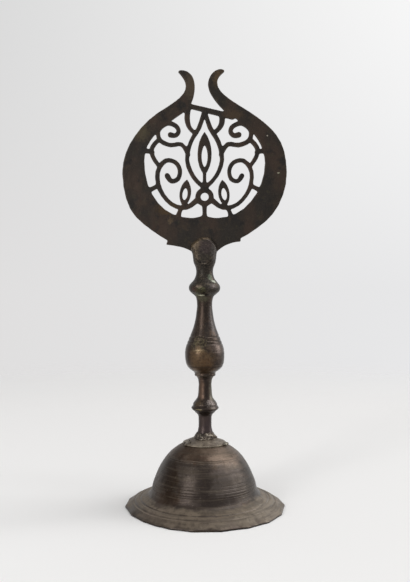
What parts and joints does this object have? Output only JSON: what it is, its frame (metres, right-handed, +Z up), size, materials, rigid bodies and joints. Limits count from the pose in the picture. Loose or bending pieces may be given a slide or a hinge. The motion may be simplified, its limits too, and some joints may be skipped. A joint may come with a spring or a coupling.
{
  "type": "alam",
  "caption": "Pierced bronze processional finial with two horns, on a turned baluster stem and a bell-shaped base.",
  "frame": {"origin": "the middle of the foot ring, in the plane that the base stands on", "axes": "+Z up the stem to the horns; the flat of the pierced head faces -Y, and +X is to its right"},
  "size_m": [0.158, 0.1506, 0.4202],
  "materials": {
    "dark_bronze": "cast bronze under a brown-black patina",
    "brown_bronze": "turned bronze, brown patina, worn to a soft sheen",
    "dusty_bronze": "turned sheet bronze, olive-tan and dusty",
    "solder": "tin-lead solder, dull grey and lumpy"
  },
  "bodies": {
    "root": {"head_plate": "dark_bronze", "head_socket": "dark_bronze", "baluster": "brown_bronze", "lower_stem": "brown_bronze", "foot_solder": "solder", "crown_disc": "dusty_bronze", "disc_solder_right": "solder", "disc_solder_left": "solder", "dome_base": "dusty_bronze", "tang_washer": "brown_bronze"}
  },
  "joints": []
}
